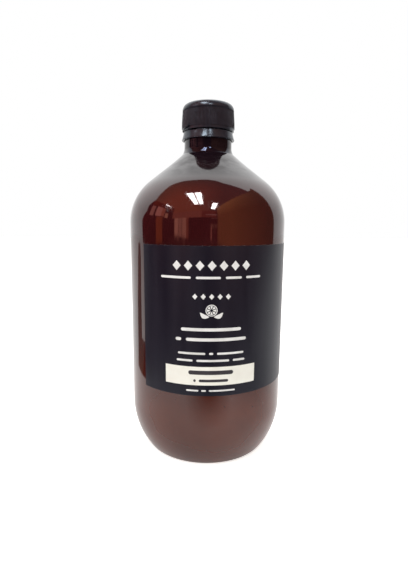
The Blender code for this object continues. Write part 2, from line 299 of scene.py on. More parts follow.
def blackCapPlastic():
    # injection moulded polypropylene: near black, a fine grain, paler where fingers have polished it
    look = dict(
        colour=(0.010, 0.0105, 0.0155), paler=(0.018, 0.0175, 0.0245), cloud=160.0, smooth=0.21, rough=0.27,
        ior=1.49, shine=0.30, tint=(0.64, 0.85, 1.0), grain=1500.0, grainDepth=0.02 * mm,
    )
    material, tree, shader = newMaterial(
        "blackCapPlastic", look["colour"], look["rough"], look["ior"], look["shine"]
    )
    shader.inputs["Specular Tint"].default_value = (*look["tint"], 1.0)
    place = objectCoordinates(tree)
    cloud = noise(tree, place, look["cloud"], 4.0)
    colour = mixed(tree, stretched(tree, cloud, 0.35, 0.7, 0.0, 1.0), look["colour"], look["paler"])
    tree.links.new(colour, shader.inputs["Base Color"])
    rough = stretched(tree, cloud, 0.3, 0.7, look["smooth"], look["rough"])
    tree.links.new(rough, shader.inputs["Roughness"])
    bump(tree, shader, noise(tree, place, look["grain"], 2.0), 0.10, look["grainDepth"])
    return material


def labelBlack():
    # satin film printed charcoal, with the faint vertical drag of the press and fine dust
    look = dict(
        colour=(0.0048, 0.0054, 0.0125), paler=(0.0095, 0.0100, 0.0188), smooth=0.32, rough=0.40,
        ior=1.45, shine=0.29, drag=120.0, grain=1400.0, grainDepth=0.015 * mm,
    )
    material, tree, shader = newMaterial(
        "labelBlack", look["colour"], look["rough"], look["ior"], look["shine"]
    )
    drag = noise(tree, objectCoordinates(tree, (1.0, 1.0, 0.1)), look["drag"], 4.0)
    fine = noise(tree, objectCoordinates(tree), look["grain"], 2.0)
    colour = mixed(tree, stretched(tree, drag, 0.35, 0.7, 0.0, 1.0), look["colour"], look["paler"])
    tree.links.new(colour, shader.inputs["Base Color"])
    tree.links.new(stretched(tree, drag, 0.3, 0.7, look["smooth"], look["rough"]), shader.inputs["Roughness"])
    bump(tree, shader, fine, 0.2, look["grainDepth"])
    return material


def plainFilm(name, colour, shade, roughness, grain=1100.0):
    # printed or bare film of one pale colour with slight mottling
    material, tree, shader = newMaterial(name, colour, roughness, 1.45, 0.5)
    place = objectCoordinates(tree)
    mottle = stretched(tree, noise(tree, place, 180.0, 4.0), 0.35, 0.7, 0.0, 1.0)
    tree.links.new(mixed(tree, mottle, colour, shade), shader.inputs["Base Color"])
    bump(tree, shader, noise(tree, place, grain, 2.0), 0.2, 0.01 * mm)
    return material


def soapLiquid():
    # thick amber soap with slow swirls
    material, tree, shader = newMaterial("soapLiquid", (0.22, 0.07, 0.02), 0.05, 1.35)
    swirl = noise(tree, objectCoordinates(tree, (1.0, 1.0, 0.4)), 40.0, 3.0)
    colour = mixed(tree, stretched(tree, swirl, 0.3, 0.7, 0.0, 1.0), (0.2, 0.06, 0.017), (0.27, 0.09, 0.027))
    tree.links.new(colour, shader.inputs["Base Color"])
    return material


def linerFoam():
    # white closed-cell foam, with the small pits of its cut face
    material, tree, shader = newMaterial("linerFoam", (0.85, 0.85, 0.83), 0.8, 1.4)
    pits = noise(tree, objectCoordinates(tree), 2200.0, 2.0)
    colour = mixed(tree, stretched(tree, pits, 0.3, 0.6, 0.0, 1.0), (0.7, 0.7, 0.68), (0.88, 0.88, 0.86))
    tree.links.new(colour, shader.inputs["Base Color"])
    bump(tree, shader, pits, 0.5, 0.05 * mm)
    return material


bottleShape = dict(
    radius=46 * mm, heelRadius=45.9 * mm, heelAngle=35.8, footFillet=3.8 * mm, footWidth=3.6 * mm,
    pushUp=6.5 * mm, straight=108.5 * mm, shoulderRadius=30.2 * mm, shoulderSlope=37.6,
    neckArcs=[(3.0 * mm, 12.0), (8.0 * mm, 30.0), (1.5 * mm, 52.4)], neckLift=0.5 * mm, liftFrom=24.0 * mm,
    wall=0.6 * mm, baseWall=1.6 * mm, nubRadius=1.6 * mm, nubHeight=0.9 * mm, top=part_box("bottle")[1][2],
    columns=180, seams=(95.0, 275.0), seamWidth=0.35 * mm, seamHeight=0.05 * mm,
)  # each neck arc is a radius and the tilt that it ends at
neckShape = dict(
    radius=12.3 * mm, collar=13.8 * mm, groove=13.1 * mm, bead=14.1 * mm, bore=10.85 * mm,
    collarTop=16.7 * mm, beadBottom=14.4 * mm, beadFlat=13.85 * mm, beadTop=12.75 * mm, rimRound=0.5 * mm,
)  # the heights are counted down from the rim
threadShape = dict(pitch=4.23 * mm, depth=1.2 * mm, crest=1.1 * mm, flank=0.6 * mm, turns=1.5, drop=1.8 * mm)


def bodySide(inset):
    # foot fillet, heel arc, shoulder arc and neck arcs joined by straight lines, all moved in by inset;
    # the top of the cone is lifted by lift * share ^ 2 towards the neck
    b = bottleShape
    slope = math.radians(b["shoulderSlope"])
    heel = math.radians(b["heelAngle"])
    reach = b["heelRadius"] - b["footFillet"]
    heelRise = reach * math.sin(heel) + b["footFillet"]
    heelCentre = (b["radius"] - b["heelRadius"], heelRise)
    footCentre = (heelCentre[0] + reach * math.cos(heel), b["footFillet"])
    bodyTop = heelRise + b["straight"]
    shoulderCentre = (b["radius"] - b["shoulderRadius"], bodyTop)
    coneR = shoulderCentre[0] + b["shoulderRadius"] * math.sin(slope)
    coneZ = bodyTop + b["shoulderRadius"] * math.cos(slope)
    neck, before, r, z = [], 0.0, neckShape["collar"], 0.0
    for radius, tilt in b["neckArcs"]:
        t = np.radians(np.linspace(before, tilt, 6))
        arcR = r + radius * (math.cos(t[0]) - np.cos(t))
        arcZ = z - radius * (np.sin(t) - math.sin(t[0]))
        neck.append(np.stack([arcR - inset * np.cos(t), arcZ - inset * np.sin(t)], axis=1))
        before, r, z = tilt, arcR[-1], arcZ[-1]
    coneAt = coneZ + (coneR - r) * math.tan(slope) + b["neckLift"]
    neck = np.concatenate(neck)[::-1] + (0.0, coneAt - z)
    foot = arcPoints(footCentre, b["footFillet"] - inset, -90, -b["heelAngle"], 8)
    heelArc = arcPoints(heelCentre, b["heelRadius"] - inset, -b["heelAngle"], 0, 22)[1:]
    shoulder = arcPoints(shoulderCentre, b["shoulderRadius"] - inset, 0, 90 - b["shoulderSlope"], 26)
    side = evenly(heelArc[-1], shoulder[0], 12)[1:-1]
    cone = evenly(shoulder[-1], neck[0] - (0.0, b["neckLift"]), 24)[1:-1]
    cone[:, 1] += b["neckLift"] * np.clip((b["liftFrom"] - cone[:, 0]) / (b["liftFrom"] - r), 0, 1) ** 2
    return foot, np.concatenate([heelArc, side, shoulder, cone, neck])


def pushUpDome(edge, lift, count):
    # a shallow dome from the axis out to the standing ring: part of a sphere of radius
    # (edge ^ 2 + height ^ 2) / (2 height)
    height = bottleShape["pushUp"]
    sphere = (edge ** 2 + height ** 2) / (2 * height)
    half = math.degrees(math.asin(edge / sphere))
    return arcPoints((0.0, height - sphere + lift), sphere, 90, 90 - half, count)


def threadRidge(azimuths, z, lowMiddle, turns, firstTurn=0.0):
    # height of a helical ridge from 0 to 1: a trapezoid across the helix, fading out at both ends
    t = threadShape
    turn = np.mod(azimuths / fullTurn - firstTurn, 1.0)[None, :] + np.arange(-1, 3)[:, None, None]
    middle = lowMiddle + t["pitch"] * (turn + firstTurn)
    away = np.abs(z[None, :, :] - middle)
    across = np.clip((t["crest"] / 2 + t["flank"] - away) / t["flank"], 0.0, 1.0)
    fade = np.clip(np.minimum(turn, turns - turn) * 12.0, 0.0, 1.0)
    return (across * fade).max(axis=0)


def makeBottle(amber):
    # one profile carried round the axis, out from the gate's nub under the base, up, over the rim and
    # back down inside; the mould seams and the thread are added to its radius
    b, n = bottleShape, neckShape
    top = b["top"]
    foot, side = bodySide(0.0)
    innerFoot, innerSide = bodySide(b["wall"])
    innerFoot = innerFoot + (0.0, b["baseWall"] - b["wall"])
    under = pushUpDome(foot[0][0] - b["footWidth"], 0.0, 16)
    nubLow = b["pushUp"] - b["nubHeight"]
    nub = [(0.0, nubLow), (b["nubRadius"], nubLow), (b["nubRadius"] + 0.3 * mm, b["pushUp"] - 0.05 * mm)]
    under = np.concatenate([nub, under[2:]])
    collar = [
        (n["collar"], top - n["collarTop"] - 0.2 * mm), (n["collar"] - 0.2 * mm, top - n["collarTop"]),
        (n["groove"], top - n["collarTop"]), (n["groove"], top - n["beadBottom"]),
        (n["bead"] - 0.1 * mm, top - n["beadBottom"]), (n["bead"], top - n["beadBottom"] + 0.1 * mm),
        (n["bead"], top - n["beadFlat"]), (n["radius"], top - n["beadTop"]),
    ]
    neck = evenly((n["radius"], top - n["beadTop"]), (n["radius"], top - n["rimRound"]), 90)[1:]
    rim = arcPoints((n["radius"] - n["rimRound"], top - n["rimRound"]), n["rimRound"], 0, 90, 5)[1:]
    lip = arcPoints((n["bore"] + n["rimRound"], top - n["rimRound"]), n["rimRound"], 90, 180, 5)
    boreFoot = innerSide[-1][1] + innerSide[-1][0] - n["bore"]
    inside = [(n["bore"], boreFoot), *innerSide[::-1], *innerFoot[::-1]]
    floor = pushUpDome(innerFoot[0][0] - b["footWidth"], b["baseWall"], 12)[::-1]
    outside = np.concatenate([under, foot, side, collar, neck])
    profile = np.concatenate([outside, rim, lip, inside, floor])
    seams = np.radians(b["seams"])
    seamSteps = np.linspace(-1.5, 1.5, 7) * b["seamWidth"] / b["radius"]
    azimuths = roundTurn(b["columns"], (seams[:, None] + seamSteps).ravel())
    r = np.repeat(profile[:, :1], len(azimuths), axis=1)
    z = np.repeat(profile[:, 1:], len(azimuths), axis=1)
    rows = np.arange(len(profile))
    lastOutside = len(outside) - len(neck) - len(collar)
    onBody = (rows > len(under) + 4) & (rows < lastOutside)
    aside = np.abs(np.mod(azimuths[None, :] - seams[:, None] + math.pi, fullTurn) - math.pi).min(axis=0)
    seam = np.clip(1.0 - aside * b["radius"] / b["seamWidth"], 0.0, 1.0)
    r = r + onBody[:, None] * seam[None, :] * b["seamHeight"]
    onNeck = (rows >= len(outside) - len(neck)) & (rows < len(outside))
    lowMiddle = top - threadShape["drop"] - threadShape["pitch"] * threadShape["turns"]
    ridge = threadRidge(azimuths, z, lowMiddle, threadShape["turns"])
    r = r + onNeck[:, None] * ridge * threadShape["depth"]
    form = turnedForm(aroundAxis(r, z, azimuths))
    return addPiece("bottleShell", form, [amber], "bottle", ["bottle"])


soapShape = dict(gap=0.15 * mm, dip=0.8 * mm, creep=3 * mm, level=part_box("soap_fill")[1][2], columns=120)


def makeSoap(liquid):
    # the inside of the bottle drawn in by the gap, cut off at the fill level with a small meniscus
    gap, level, dip = soapShape["gap"], soapShape["level"], soapShape["dip"]
    innerFoot, innerSide = bodySide(bottleShape["wall"] + gap)
    innerFoot = innerFoot + (0.0, bottleShape["baseWall"] - bottleShape["wall"])
    floor = pushUpDome(innerFoot[0][0] - bottleShape["footWidth"], bottleShape["baseWall"] + gap, 12)
    wet = innerSide[innerSide[:, 1] < level - 1.5 * mm]
    edge = float(np.interp(level, innerSide[:, 1], innerSide[:, 0]))
    meniscus = [(edge, level), (edge - 1.2 * mm, level - 0.5 * mm), (edge - soapShape["creep"], level - dip)]
    profile = np.concatenate([floor, innerFoot, wet, meniscus, [(0.0, level - dip)]])
    azimuths = roundTurn(soapShape["columns"])
    form = turnedForm(aroundAxis(profile[:, :1], profile[:, 1:], azimuths[None, :]))
    return addPiece("soapLevel", form, [liquid], "bottle", ["soap_fill"])


capShape = dict(
    inside=13.8 * mm, plate=1.5 * mm, lip=14.98 * mm, lipHeight=1.5 * mm,
    ribTop=14.86 * mm, ribFoot=15.36 * mm, ribWaist=15.30 * mm, ribWaistAt=0.36, ribDepth=0.3 * mm,
    ribs=120, ribHollow=(0.0, 0.0, 0.25, 1.0, 1.0, 0.25),
    crownHeight=3.9 * mm, crownRound=3.8 * mm, crownPower=0.92, crownLedge=0.06 * mm,
    linerHold=[(0.0, -1.2), (-0.2, -1.6), (-0.4, -1.9), (-0.2, -2.2), (0.0, -2.5)],
    bottom=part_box("cap")[0][2], top=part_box("cap")[1][2], turns=1.25,
)  # ribHollow goes over one rib, crest, flank, groove and flank; linerHold is counted from the plate
slitShape = dict(start=-88.0, end=-46.0, width=0.7 * mm, depth=1.1 * mm)


def makeCap(plastic):
    # plate and skirt as one profile, its crown a rounded corner 1 - cos(t) ^ power by sin(t) ^ power;
    # the ribs, the slit and the inner thread are taken from its radius
    c = capShape
    perRib = len(c["ribHollow"])
    azimuths = roundTurn(c["ribs"] * perRib)
    ribBottom = c["bottom"] + c["lipHeight"]
    ribTop = c["top"] - c["crownHeight"]
    crownR = c["ribTop"] + c["crownLedge"]
    plateBottom = c["top"] - c["plate"]
    centre = evenly((0.0, plateBottom), (c["inside"] - 0.5 * mm, plateBottom), 4)
    corner = [(c["inside"], plateBottom - 0.2 * mm)]
    hold = [(c["inside"] + dr * mm, plateBottom + dz * mm) for dr, dz in c["linerHold"]]
    bore = evenly(hold[-1], (c["inside"], c["bottom"] + 0.2 * mm), 48)[1:]
    edge = [(c["inside"] + 0.2 * mm, c["bottom"]), (c["lip"] - 0.2 * mm, c["bottom"])]
    lip = evenly((c["lip"], c["bottom"] + 0.15 * mm), (c["lip"], ribBottom - 0.02 * mm), 14)
    ribs = evenly((c["ribFoot"], ribBottom), (c["ribTop"], ribTop - 0.12 * mm), 14)
    up = np.linspace(0, 1, 14)
    ribs[:, 0] = np.interp(up, (0.0, c["ribWaistAt"], 1.0), (c["ribFoot"], c["ribWaist"], c["ribTop"]))
    turn = np.radians(np.linspace(0, 90, 16))
    crown = np.stack([
        crownR - c["crownRound"] * (1 - np.cos(turn) ** c["crownPower"]),
        ribTop + c["crownHeight"] * np.sin(turn) ** c["crownPower"],
    ], axis=1)
    roof = evenly(crown[-1], (0.0, c["top"]), 8)[1:]
    parts = [centre, corner, hold, bore, edge, lip, ribs, crown, roof]
    firsts = np.cumsum([0] + [len(part) for part in parts])
    profile = np.concatenate(parts)
    r = np.repeat(profile[:, :1], len(azimuths), axis=1)
    z = np.repeat(profile[:, 1:], len(azimuths), axis=1)
    hollow = np.array(c["ribHollow"])[np.arange(len(azimuths)) % perRib]
    r[firsts[6]:firsts[7]] -= hollow * c["ribDepth"]
    s = slitShape
    share = (np.degrees(azimuths) - 360 - s["start"]) / (s["end"] - s["start"])
    middle = c["bottom"] + share * (c["lipHeight"] - s["width"] / 4)
    groove = (np.abs(z - middle) < s["width"] / 2) & (share > -0.1) & (share < 1.0)
    onLip = np.zeros(len(profile), bool)
    onLip[firsts[4] + 1:firsts[6] + 2] = True
    r -= onLip[:, None] * groove * s["depth"]
    lowMiddle = bottleShape["top"] - threadShape["drop"] - threadShape["pitch"] * (threadShape["turns"] + 0.5)
    skipped = threadShape["turns"] - c["turns"]
    ridge = threadRidge(azimuths, z, lowMiddle, c["turns"], skipped)
    onBore = np.zeros(len(profile), bool)
    onBore[firsts[3]:firsts[4]] = True
    r -= onBore[:, None] * ridge * threadShape["depth"]
    form = turnedForm(aroundAxis(r, z, azimuths))
    return addPiece("capShell", form, [plastic], "cap", ["cap"], sharpAngle=50)


linerShape = dict(pressedFrom=10.5 * mm, pressedTo=12.2 * mm, pressed=0.1 * mm, slope=0.4 * mm, columns=120)


def makeLiner(foam):
    # a disc with a round edge, pressed in from below where the rim of the neck holds it
    low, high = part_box("cap_liner")[0][2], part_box("cap_liner")[1][2]
    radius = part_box("cap_liner")[1][0]
    half = (high - low) / 2
    edge = arcPoints((radius - half, (low + high) / 2), half, -90, 90, 9)
    n = linerShape
    start, raised = n["pressedFrom"], low + n["pressed"]
    pressed = [(0.0, low), (start, low), (start + n["slope"], raised), (n["pressedTo"], raised)]
    profile = np.concatenate([pressed, edge, [(0.0, high)]])
    form = turnedForm(aroundAxis(profile[:, :1], profile[:, 1:], roundTurn(n["columns"])[None, :]))
    return addPiece("linerDisc", form, [foam], "liner", ["cap_liner"])


bandShape = dict(
    inside=14.13 * mm, catch=13.4 * mm, catchHeight=1.1 * mm, drop=0.7 * mm, height=4.5 * mm,
    flare=[(15.28, 0.15), (15.25, 0.45), (15.0, 1.2), (14.78, 2.0), (14.5, 3.1), (14.22, 4.38)],
    bottom=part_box("tamper_band")[0][2], bridges=8, bridgeWidth=0.7 * mm, bridgeRise=0.42 * mm, columns=240,
)  # the flare is radius and height in millimetres


def makeBand(plastic):
    # a closed ring section carried round; its top edge rises at the bridges and over the slit's stretch
    n = bandShape
    top = n["bottom"] + n["height"]
    catch = n["bottom"] + n["drop"]
    flare = np.array(n["flare"]) * mm + (0.0, n["bottom"])
    heights = np.linspace(flare[0, 1], flare[-1, 1], 16)
    wall = np.stack([np.interp(heights, flare[:, 1], flare[:, 0]), heights], axis=1)
    outer = flare[-1, 0]
    section = np.concatenate([
        [(n["inside"], n["bottom"]), (flare[0, 0] - 0.15 * mm, n["bottom"])], wall,
        [(outer - 0.08 * mm, top), (n["inside"], top), (n["inside"], catch + n["catchHeight"])],
        [(n["catch"], catch + n["catchHeight"]), (n["catch"], catch), (n["inside"], catch)],
    ])
    azimuths = roundTurn(n["columns"])
    r = np.repeat(section[:, :1], len(azimuths), axis=1)
    z = np.repeat(section[:, 1:], len(azimuths), axis=1)
    degrees = np.degrees(azimuths) - 360
    joined = (degrees > slitShape["start"] - 1) & (degrees < slitShape["end"] - 1)
    spacing = 360 / n["bridges"]
    off = np.mod(degrees - slitShape["end"], spacing) - spacing / 2
    bridge = np.abs(np.radians(off)) * outer < n["bridgeWidth"] / 2
    nearTop = z > top - 0.2 * mm
    z = z + nearTop * (joined | bridge) * n["bridgeRise"]
    points = aroundAxis(r, z, azimuths)
    faces = gridFaces(*points.shape[:2], closeRows=True, closeColumns=True)
    form = points.reshape(-1, 3), faces
    return addPiece("capBand", form, [plastic], "bottle", ["tamper_band"])


labelFilm = dict(
    radius=46.03 * mm, thickness=0.12 * mm, left=-51.3, bareAngle=49.6,
    bottom=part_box("label")[0][2], top=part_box("label")[1][2],
    nickDepth=0.22 * mm, nickWave=0.55 * mm, nickReach=9 * mm,
)
inkFilm = dict(thickness=0.03 * mm, clearance=0.004 * mm)


def makeLabel(black, core):
    # a sheet of film laid round the bottle; its cut edges show the white core. Its upper edge has nicks
    # near the corner, exp(-distance / reach) * sin(distance / wave) where that is above zero
    f = labelFilm
    span = np.radians(360 - f["bareAngle"])
    across = np.radians(f["left"]) * f["radius"] + np.linspace(0, 1, 221) * span * f["radius"]
    share = np.linspace(0, 1, 41)[:, None]
    fromLeft = across - across[0]
    nicks = np.exp(-fromLeft / f["nickReach"]) * np.clip(np.sin(fromLeft / f["nickWave"]), 0, 1)
    upper = f["top"] - nicks * f["nickDepth"]
    up = f["bottom"] + share * (upper - f["bottom"])[None, :]
    across = np.broadcast_to(across, up.shape)
    form = slabForm(onBottle(across, up, f["radius"] + f["thickness"]), onBottle(across, up, f["radius"]))
    rows, columns = up.shape
    faceCount = (rows - 1) * (columns - 1)
    wallCount = len(form[1]) - 2 * faceCount
    faceMaterial = np.concatenate([np.zeros(faceCount, int), np.ones(faceCount + wallCount, int)])
    return addPiece(
        "wrapLabel", form, [black, core], "bottle", ["label"], faceMaterial=faceMaterial
    )


panelSheet = dict(width=50.6 * mm, bottom=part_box("refill_panel")[0][2], top=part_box("refill_panel")[1][2])


def makePanel(cream):
    # the pale field of the label: one even grid in label coordinates, laid round the bottle
    p = panelSheet
    across, up = np.meshgrid(np.linspace(-0.5, 0.5, 41) * p["width"], np.linspace(p["bottom"], p["top"], 7))
    return addPiece("creamPanel", printedForm(across, up), [cream], "bottle", ["refill_panel"])


def barForm(left, right, middle, height, lift=None):
    # a bar with round ends: half length shrinks across v as r (1 - sqrt(1 - v^2))
    half, radius = (right - left) / 2, height / 2
    v = np.sin(np.linspace(-1, 1, 9) * math.pi / 2)[:, None]
    u = np.linspace(-1, 1, max(5, int(half * 2 / (1.5 * mm))))[None, :]
    across = (left + right) / 2 + u * (half - radius * (1 - np.sqrt(1 - v ** 2)))
    return printedForm(across, middle + v * radius + 0 * u, lift)


def lozengeForm(middle, up, width, height):
    # a lozenge: half width shrinks in a straight line from the middle to both tips
    v = np.linspace(-1, 1, 7)[:, None]
    u = np.linspace(-1, 1, 5)[None, :]
    across = middle + u * width / 2 * np.clip(1 - np.abs(v), 0.02, 1)
    return printedForm(across, up + v * height / 2 + 0 * u)


def leafForm(start, end, width, bend):
    # a leaf: its midrib is a shallow arc from start to end, its half width follows sin(pi t) ^ 0.8
    t = np.linspace(0.02, 1, 19)[:, None]
    side = np.linspace(-1, 1, 5)[None, :]
    start, end = np.asarray(start), np.asarray(end)
    along = end - start
    normal = np.array([-along[1], along[0]]) / np.hypot(*along)
    offset = bend * np.sin(math.pi * t) + side * width / 2 * (np.sin(math.pi * t) ** 0.8 + 0.02)
    across = start[0] + along[0] * t + normal[0] * offset
    up = start[1] + along[1] * t + normal[1] * offset
    return printedForm(across[:, ::-1], up[:, ::-1])


def fruitSliceForms(across, up, radius, wedges):
    # a cut fruit: a thin ring and wedges, each a polar grid whose sides keep a fixed gap to the next
    angle = np.linspace(0, fullTurn, 49)[None, :]
    ring = np.linspace(radius, radius * 0.86, 3)[:, None]
    forms = [printedForm(across + ring * np.sin(angle), up + ring * np.cos(angle))]
    gap = radius * 0.07
    for k in range(wedges):
        rho = np.linspace(radius * 0.76, radius * 0.2, 8)[:, None]
        half = math.pi / wedges - gap / rho
        a = k * fullTurn / wedges + half * np.linspace(-1, 1, 7)[None, :]
        forms.append(printedForm(across + rho * np.sin(a), up + rho * np.cos(a)))
    return forms


def barRow(row):
    # round-ended bars side by side; their lengths share out the row's width, less the gaps
    shares, gap = row["bars"], row["gap"]
    width = row["width"] - gap * (len(shares) - 1)
    lengths = width * np.array(shares) / sum(shares)
    lefts = -row["width"] / 2 + np.concatenate([[0.0], np.cumsum(lengths + gap)[:-1]])
    ends = zip(lefts, lefts + lengths)
    return [barForm(left, right, row["up"], row["height"], row.get("lift")) for left, right in ends]


printedLines = [
    dict(up=109.6 * mm, width=55.6 * mm, height=1.25 * mm, gap=2.6 * mm, bars=(16.5, 12.5, 8.5, 9)),
    dict(up=82.3 * mm, width=32.3 * mm, height=1.7 * mm, gap=2.4 * mm, bars=(32.3,)),
    dict(up=76.9 * mm, width=38.4 * mm, height=1.7 * mm, gap=2.6 * mm, bars=(3, 31)),
    dict(up=69.3 * mm, width=35.8 * mm, height=1.15 * mm, gap=2.0 * mm, bars=(15, 2.2, 15)),
    dict(up=65.4 * mm, width=37.2 * mm, height=1.15 * mm, gap=2.0 * mm, bars=(9, 18, 7)),
    dict(up=48.7 * mm, width=26.6 * mm, height=0.9 * mm, gap=1.5 * mm, bars=(6.5, 2.5, 14)),
]
panelLift = labelFilm["radius"] + labelFilm["thickness"] + inkFilm["thickness"]
panelLines = [
    dict(up=58.8 * mm, width=24.2 * mm, height=2.3 * mm, gap=1.0 * mm, bars=(1,), lift=panelLift),
    dict(up=54.3 * mm, width=18.8 * mm, height=1.5 * mm, gap=1.6 * mm, bars=(1.2, 14), lift=panelLift),
]
lozengeRows = [
    dict(up=115.8 * mm, count=7, pitch=6.15 * mm, width=4.5 * mm, height=5.1 * mm),
    dict(up=99.8 * mm, count=5, pitch=4.35 * mm, width=2.7 * mm, height=3.0 * mm),
]
fruitMark = dict(up=92.6 * mm, radius=3.1 * mm, wedges=8, leafLength=6.0 * mm, leafWidth=2.2 * mm)


def makePrint(white, dark):
    # rows of plain bars, rows of lozenges, and a cut fruit with two leaves
    bars = joinForms([form for row in printedLines for form in barRow(row)])
    addPiece("printedLines", bars, [white], "bottle")
    rows = []
    for row in lozengeRows:
        places = (np.arange(row["count"]) - (row["count"] - 1) / 2) * row["pitch"]
        rows += [lozengeForm(place, row["up"], row["width"], row["height"]) for place in places]
    addPiece("printedLozenges", joinForms(rows), [white], "bottle")
    m = fruitMark
    fruit = fruitSliceForms(0.0, m["up"], m["radius"], m["wedges"])
    for side in (-1, 1):
        start = (side * 1.2 * mm, m["up"] - m["radius"] - 0.4 * mm)
        end = (side * m["leafLength"], m["up"] - m["radius"] + 1.9 * mm)
        fruit.append(leafForm(start, end, m["leafWidth"], -side * 0.9 * mm))
    addPiece("printedFruit", joinForms(fruit), [white], "bottle")
    panelBars = joinForms([form for row in panelLines for form in barRow(row)])
    addPiece("panelBars", panelBars, [dark], "bottle")


def emissive(name, colour, strength):
    # a material that only gives light, colour times strength
    material = bpy.data.materials.new(name)
    material.use_nodes = True
    tree = material.node_tree
    tree.nodes.remove(tree.nodes["Principled BSDF"])
    light = tree.nodes.new("ShaderNodeEmission")
    light.inputs["Color"].default_value = (*colour, 1.0)
    light.inputs["Strength"].default_value = strength
    tree.links.new(light.outputs[0], tree.nodes["Material Output"].inputs["Surface"])
    return material


def reflectedCard(name, corners, colour, strength=1.0):
    # a flat card that only shows in reflections, cornered by the given points
    mesh = bpy.data.meshes.new(name)
    mesh.from_pydata([Vector(corner) for corner in corners], [], [tuple(range(len(corners)))])
    mesh.materials.append(emissive(name, colour, strength))
    card = bpy.data.objects.new(name, mesh)
    scene.collection.objects.link(card)
    card.visible_camera = False
    card.visible_diffuse = False
    card.visible_transmission = False
    card.visible_shadow = False
    return card


room = dict(ceiling=1.6, low=-0.2, leftX=-2.3, farY=-3.1, shelfY=-3.05, leftFarY=-1.9, farX=(-4.8, 1.0))
lampGlow = dict(colour=(1.10, 1.0, 1.0), strength=42.0)
lampPanels = dict(
    lampPairLeft=[(-0.69, -0.63), (-0.472, -0.67), (-0.478, -1.78), (-0.668, -1.77)],
    lampPairRight=[(-0.400, -0.68), (-0.211, -0.71), (-0.232, -1.78), (-0.394, -1.78)],
    lampFar=[(0.262, -1.655), (0.495, -1.65), (0.50, -2.58), (0.245, -2.60)],
    lampSide=[(-2.19, -0.88), (-2.30, -1.70), (-2.47, -1.69), (-2.43, -0.95)],
    lampSideFar=[(-2.55, -1.05), (-2.70, -1.75), (-2.86, -1.80), (-2.70, -1.15)],
)  # places of the tubes on the ceiling, in metres: x to the right, y the way the camera looks
ceilingEdge = [
    (1.6, 0.14), (1.32, 0.14), (1.20, 0.07), (0.66, 0.0), (0.36, 0.03), (0.18, 0.15), (-0.02, 0.215),
    (-0.28, 0.24), (-0.57, 0.32), (-0.90, 0.345), (-1.42, 0.23), (-2.13, 0.18), (-4.6, 0.1),
]  # the ceiling's near edge, as x and y
ceilingGlow = [
    ("X", -0.9, 0.5, (1.35, 0.29, 0.15), (0.40, 0.15, 0.13)),
    ("Y", -0.7, 0.25, (1.0, 1.0, 1.0), (0.42, 0.75, 0.9)),
]  # axis, from, to, and the colours there
leftWallEdge = [
    (0.56, -0.2), (0.68, 0.08), (0.68, 0.31), (0.59, 0.48), (0.40, 0.76), (0.43, 1.14), (0.20, 1.6),
]  # the left wall's near end, as y and z
rightWallEdge = [
    (0.599, -2.40, -0.2), (1.391, 0.49, -0.2), (1.391, 0.49, 1.90), (1.33, 0.27, 1.70), (1.27, 0.05, 1.67),
    (0.599, -2.40, 1.63),
]  # all round the right wall
rightWallGlow = [
    ("Y", -1.35, 0.05, (0.90, 0.26, 0.09), (0.17, 0.08, 0.045)),
    ("Z", 0.75, 1.5, (1.0, 1.0, 1.0), (1.8, 2.1, 2.2)),
]
leftPanels = dict(
    leftBeam=((0.50, 0.06, 0.02), (-1.9, 0.19), (1.26, 1.6)),
    boardNear=((1.5, 0.50, 0.40), (-0.24, 0.08), (0.58, 1.2)),
    boardMiddle=((2.4, 0.75, 0.60), (-0.83, -0.38), (0.60, 1.27)),
    boardFar=((1.8, 0.42, 0.26), (-1.10, -0.83), (0.62, 1.27)),
    boardEnd=((2.4, 0.85, 0.55), (-1.42, -1.16), (0.55, 0.92)),
    doorEdge=((1.0, 0.17, 0.05), (-1.0, -0.51), (-0.2, 0.57)),
)  # colour, from y to y, from z to z
farPanels = dict(
    farUpper=((1.3, 0.30, 0.20), (-4.6, -0.45), (0.80, 1.6)),
    farUpperRight=((0.75, 0.12, 0.08), (-0.45, 0.66), (0.80, 1.6)),
    pillarLeft=((2.5, 0.85, 0.60), (-3.25, -2.66), (-0.2, 0.80)),
    pillarMiddle=((1.8, 0.60, 0.43), (-2.62, -2.22), (-0.2, 0.80)),
    pillarRight=((2.2, 0.72, 0.50), (-2.17, -1.73), (-0.2, 0.80)),
    pillarShade=((1.0, 0.20, 0.12), (-1.73, -1.50), (-0.2, 0.80)),
    frameUpright=((1.7, 0.45, 0.32), (0.24, 0.33), (-0.2, 0.16)),
    frameRail=((0.9, 0.30, 0.20), (0.33, 0.70), (0.13, 0.16)),
    shelfUpper=((2.8, 1.35, 1.25), (-0.10, 0.70), (1.06, 1.12)),
    shelfLower=((1.5, 0.50, 0.40), (0.32, 0.70), (0.66, 0.70)),
)  # colour, from x to x, from z to z
darkRoom = (0.10, 0.012, 0.018)


def roomToPart(points, turn=None):
    # the room is square to the camera, so it is turned by the camera's azimuth: x cos t - y sin t
    turn = math.radians(view["azimuth"] if turn is None else turn)
    c, s = math.cos(turn), math.sin(turn)
    return [(x * c - y * s, x * s + y * c, z) for x, y, z in points]


def fadedGlow(name, rows):
    # emission whose strength is the product of ramps along the object's own axes
    material = emissive(name, (1.0, 1.0, 1.0), 1.0)
    tree = material.node_tree
    light = tree.nodes["Emission"]
    split = tree.nodes.new("ShaderNodeSeparateXYZ")
    tree.links.new(objectCoordinates(tree), split.inputs[0])
    colour = None
    for axis, low, high, first, second in rows:
        share = stretched(tree, split.outputs[axis], low, high, 0.0, 1.0)
        faded = mixed(tree, share, first, second)
        colour = faded if colour is None else mixed(tree, 1.0, colour, faded, "MULTIPLY")
    tree.links.new(colour, light.inputs["Color"])
    return material


